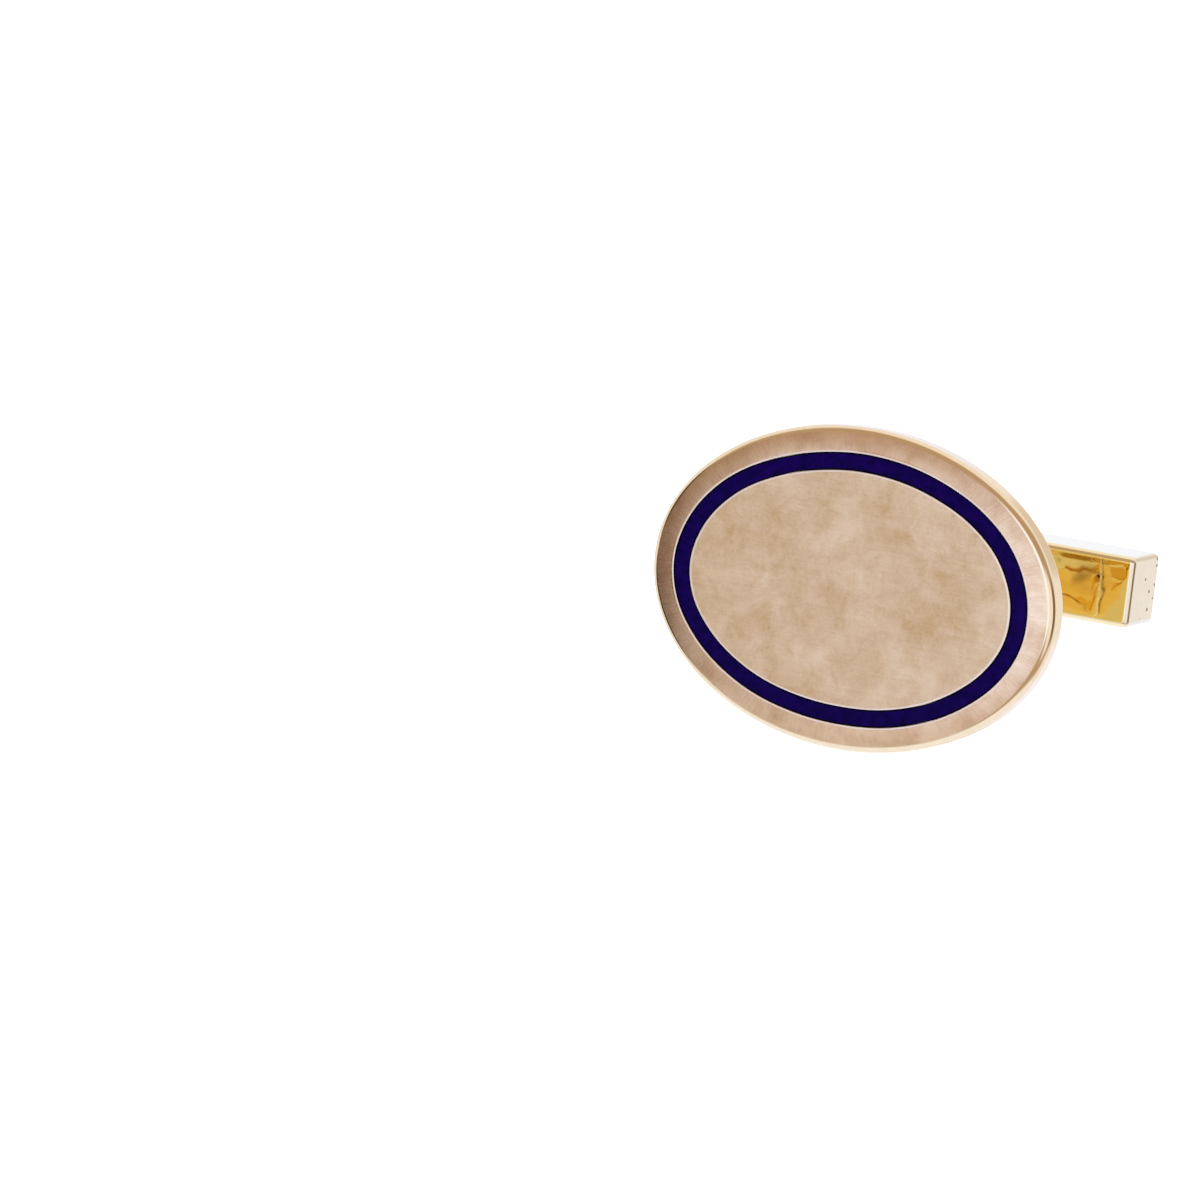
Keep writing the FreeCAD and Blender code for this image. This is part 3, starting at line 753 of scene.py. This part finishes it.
def bar_end(name, node, side):
    """Round-cornered rectangles carried along X: the end of the spigot inside the tube, its
    sides, out along the joint, along the flange, over a quarter-round edge that makes each corner
    a ball, and in over the flat end. The pale metal starts on the third step of that edge."""
    sine, cosine = quarter(12)
    spigot_depth = BAR_HALF_DEPTH - BAR_WALL - SPIGOT_CLEARANCE
    spigot_height = BAR_HALF_HEIGHT - BAR_WALL - SPIGOT_CLEARANCE
    inset = BAR_EDGE_RADIUS * (1 - cosine)
    face_share = np.linspace(1, 0, 12)[1:]
    half_y = np.concatenate([[0, spigot_depth, spigot_depth], BAR_HALF_DEPTH - inset,
                             face_share * (BAR_HALF_DEPTH - BAR_EDGE_RADIUS)])
    half_z = np.concatenate([[0, spigot_height, spigot_height], BAR_HALF_HEIGHT - inset,
                             face_share * (BAR_HALF_HEIGHT - BAR_EDGE_RADIUS)])
    half_y = np.insert(half_y, 3, BAR_HALF_DEPTH)
    half_z = np.insert(half_z, 3, BAR_HALF_HEIGHT)
    corner = np.concatenate([
        [0, INNER_CORNER_RADIUS, INNER_CORNER_RADIUS, BAR_EDGE_RADIUS], BAR_EDGE_RADIUS - inset,
        np.zeros(len(face_share)),
    ])
    inner_x = TUBE_HALF_LENGTH - SPIGOT_LENGTH
    edge_x = BAR_HALF_LENGTH - BAR_EDGE_RADIUS + BAR_EDGE_RADIUS * sine
    length = np.concatenate([[inner_x, inner_x, TUBE_HALF_LENGTH, TUBE_HALF_LENGTH], edge_x,
                             np.full(len(face_share), BAR_HALF_LENGTH)])
    y, z = round_cornered(half_y, half_z, corner)
    x = np.broadcast_to(side * length[:, None], y.shape)
    points = np.stack([x, y + PIVOT_Y, z], axis=-1).reshape(-1, 3)
    edge_start = len(length) - len(face_share) - len(edge_x)
    pale = np.arange(len(length) - 1) >= edge_start + 2
    return make_piece(name, node, "toggle", points, ring_quads(*y.shape),
                      [POLISHED_BAR, PALE_END], np.repeat(pale, y.shape[1]))


oval_front()
enamel_inlay()
solder_pad()
post_arm("post_arm_upper", "arm_upper", 1)
post_arm("post_arm_lower", "arm_lower", -1)
rivet_pin()
bar_tube()
bar_end("bar_end_left", "end_cap_left", -1)
bar_end("bar_end_right", "end_cap_right", 1)

for leaf in ("leaf_spring_front", "leaf_spring_back"):
    leaf_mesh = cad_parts[leaf].data
    leaf_mesh.materials.clear()
    leaf_mesh.materials.append(SPRING_STEEL)


# Floor, light and camera

def pale_floor():
    """A wide flat sheet just under the front's lowest edge, lit from behind as on a light table."""
    half_size = 1.5
    gap = 0.02 * MM
    x, y = np.meshgrid([-half_size, half_size], [-half_size, half_size], indexing="ij")
    z = np.full(x.shape, CAD_LOW.z - gap)
    points = np.stack([x, y, z], axis=-1).reshape(-1, 3)
    mesh = bpy.data.meshes.new("pale_floor")
    mesh.from_pydata(points.tolist(), [], [[0, 2, 3, 1]])
    material, tree, shader = new_material("white_card")
    place = add(tree, "TexCoord").outputs["Object"]
    grain = add(tree, "TexNoise", {"Vector": place, "Scale": 900, "Detail": 2}).outputs["Fac"]
    colour = add(tree, "Mix", {"Factor": grain, "A": linear("#f7f7f6"), "B": linear("#f1f1f0")},
                 data_type="RGBA")
    tree.links.new(colour.outputs["Result"], shader.inputs["Base Color"])
    shader.inputs["Roughness"].default_value = 0.6
    shader.inputs["Emission Color"].default_value = linear("#f7f7f6")
    shader.inputs["Emission Strength"].default_value = 0.75
    mesh.materials.append(material)
    floor = bpy.data.objects.new("pale_floor", mesh)
    bpy.context.scene.collection.objects.link(floor)
    floor.visible_glossy = False


def light_tent():
    """A white tent all round, painted zone by zone, each over the ones before it. A zone is a cone
    about a direction, with the cosines where it starts and where it is full, and its red, green
    and blue light. The face mirrors the zones in front, and the rim and the bar's top and end
    mirror those at the side and behind."""
    world = bpy.data.worlds.new("light_tent")
    bpy.context.scene.world = world
    world.use_nodes = True
    tree = world.node_tree
    tree.nodes.clear()
    toward = add(tree, "TexCoord").outputs["Generated"]
    zones = {
        "tan_room_in_front": ((0.40, -0.87, 0.29), 0.02, 0.35, (0.54, 0.40, 0.26)),
        "dark_far_right": ((0.98, 0.17, 0.0), 0.87, 0.98, (0.24, 0.16, 0.09)),
        "lit_part_for_the_face": ((-0.365, -0.900, -0.240), 0.90, 0.94, (0.965, 0.965, 1.02)),
        "shade_under_it": ((-0.35, -0.72, -0.60), 0.93, 0.98, (0.80, 0.77, 0.71)),
        "dark_opening_on_its_left": ((-0.70, -0.70, -0.14), 0.945, 0.99, (0.24, 0.14, 0.08)),
        "upper_dark_strip": ((-0.86, -0.49, 0.14), 0.968, 0.992, (0.05, 0.03, 0.01)),
        "lower_dark_strip": ((-0.80, -0.50, -0.34), 0.968, 0.992, (0.05, 0.03, 0.01)),
        "soft_box_left_part": ((-0.05, -0.99, -0.10), 0.94, 0.99, (1.25, 1.42, 1.75)),
        "soft_box_middle_part": ((0.24, -0.965, 0.105), 0.90, 0.965, (1.2, 1.32, 1.55)),
        "soft_box_right_part": ((0.81, -0.58, -0.05), 0.86, 0.95, (1.05, 1.05, 1.05)),
        "lit_floor": ((0.0, 0.0, -1.0), 0.60, 0.75, (1.07, 1.12, 1.22)),
        "lit_top": ((0.0, 0.35, 0.94), 0.75, 0.90, (1.02, 1.0, 0.96)),
        "dim_panel_behind": ((-0.39, 0.91, -0.145), 0.965, 0.985, (0.82, 0.83, 0.76)),
        "dark_gap_behind": ((-0.60, 0.78, -0.18), 0.968, 0.985, (0.10, 0.05, 0.01)),
        "dim_panel_behind_high": ((0.24, 0.91, 0.34), 0.965, 0.99, (0.80, 0.74, 0.64)),
        "bright_panel_behind_low": ((0.15, 0.88, -0.45), 0.945, 0.985, (1.05, 1.12, 1.32)),
        "pale_panel_behind": ((-0.30, 0.93, 0.20), 0.955, 0.985, (0.98, 1.07, 1.30)),
    }
    colour = (1, 1, 1, 1)
    for centre, outer, inner, tint in zones.values():
        near = add(tree, "VectorMath", {0: toward, 1: centre}, operation="DOT_PRODUCT").outputs["Value"]
        inside = add(tree, "MapRange", {"Value": near, "From Min": outer, "From Max": inner},
                     interpolation_type="SMOOTHSTEP").outputs[0]
        colour = add(tree, "Mix", {"Factor": inside, "A": colour, "B": (*tint, 1)},
                     data_type="RGBA").outputs["Result"]
    light = add(tree, "Background", {"Color": colour})
    add(tree, "OutputWorld", {"Surface": light.outputs[0]})


def soft_box(name, place, aim, width, power):
    """A square soft light at a place in metres, turned to its aim."""
    lamp = bpy.data.lights.new(name, "AREA")
    lamp.size = width
    lamp.energy = power
    holder = bpy.data.objects.new(name, lamp)
    bpy.context.scene.collection.objects.link(holder)
    away = np.array(place) - np.array(aim)
    away = away / np.linalg.norm(away)
    right = np.cross((0, 1, 0), away)
    right = right / np.linalg.norm(right)
    up = np.cross(away, right)
    turned = Matrix((*np.stack([right, up, away], axis=1).tolist(),)).to_4x4()
    turned.translation = place
    holder.matrix_world = turned
    holder.visible_glossy = False


def photo_camera():
    """A long lens half a metre away, a little to the right of the face and above it."""
    lens = bpy.data.cameras.new("photo_camera")
    lens.sensor_width = 36
    lens.lens = 360
    camera = bpy.data.objects.new("photo_camera", lens)
    bpy.context.scene.collection.objects.link(camera)
    right = (0.90384, 0.41090, 0.11932)
    up = (-0.16805, 0.08444, 0.98216)
    back = (0.39349, -0.90776, 0.14537)
    eye = (0.187427, -0.458186, 0.071027)
    turned = Matrix((right, up, back)).transposed().to_4x4()
    turned.translation = eye
    camera.matrix_world = turned
    bpy.context.scene.camera = camera


pale_floor()
light_tent()
soft_box("top_soft_box", place=(0.05, -0.1, 0.4), aim=(0, 0, 0), width=0.6, power=3.0)
photo_camera()
bpy.context.scene.view_settings.view_transform = "Standard"
